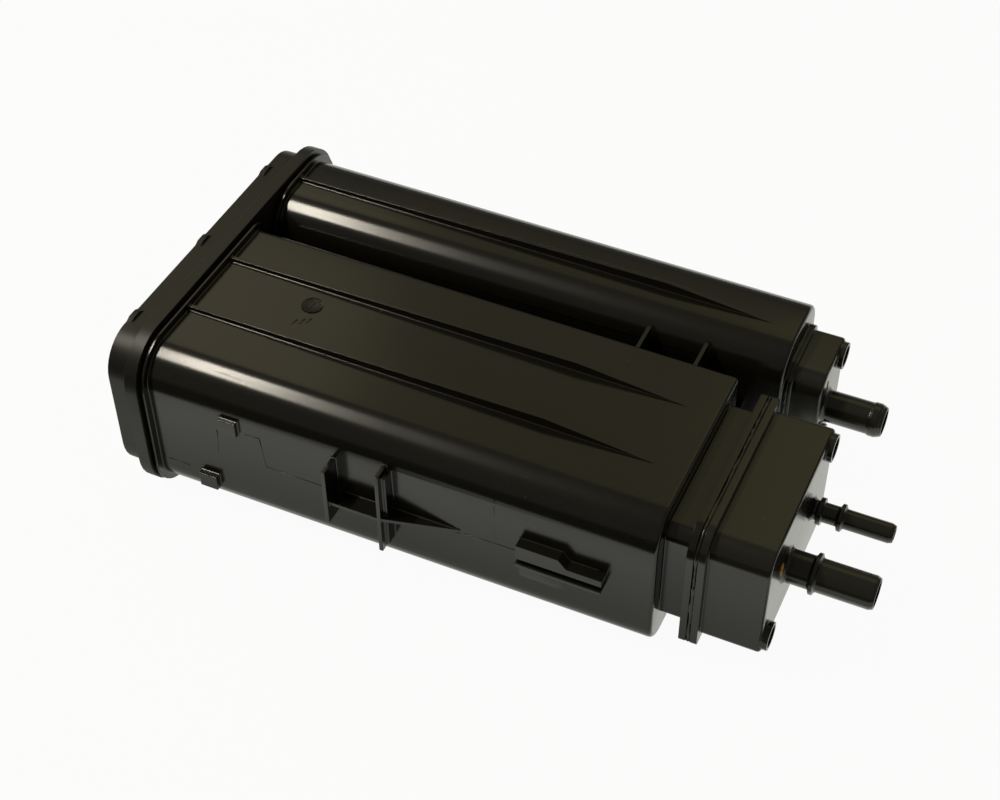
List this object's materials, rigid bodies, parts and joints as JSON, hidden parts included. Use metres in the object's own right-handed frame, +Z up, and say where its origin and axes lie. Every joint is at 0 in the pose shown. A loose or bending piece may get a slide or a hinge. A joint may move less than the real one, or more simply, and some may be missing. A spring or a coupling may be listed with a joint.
{
  "type": "charcoal canister",
  "caption": "Welded black plastic fuel vapour canister with two charcoal chambers side by side, a flanged end cover, hose ports on the opposite end and clip brackets on one side.",
  "frame": {"origin": "middle of the bottom of the whole part, at the height of the weld flange's lower edge", "axes": "+X from the bottom cover to the hose ports, +Y from the main chamber to the vent chamber, +Z up"},
  "size_m": [0.3666, 0.1964, 0.0946],
  "materials": {
    "shell_nylon": "satin moulded black nylon",
    "cap_nylon": "satin moulded black nylon",
    "charcoal": "dusty black pellets",
    "foam": "open-cell foam",
    "plate_nylon": "moulded dark grey nylon",
    "spring_steel": "drawn spring wire"
  },
  "bodies": {
    "root": {"housing": "shell_nylon", "bottom_cover": "shell_nylon", "port_cap": "cap_nylon", "vent_cap": "cap_nylon", "main_carbon_bed": "charcoal", "vent_carbon_bed": "charcoal", "tank_port_pad": "foam", "purge_port_pad": "foam", "main_spring_pad": "foam", "vent_port_pad": "foam", "vent_spring_pad": "foam", "main_plate": "plate_nylon", "vent_plate": "plate_nylon", "main_spring_near": "spring_steel", "main_spring_far": "spring_steel", "vent_spring": "spring_steel"}
  },
  "joints": []
}
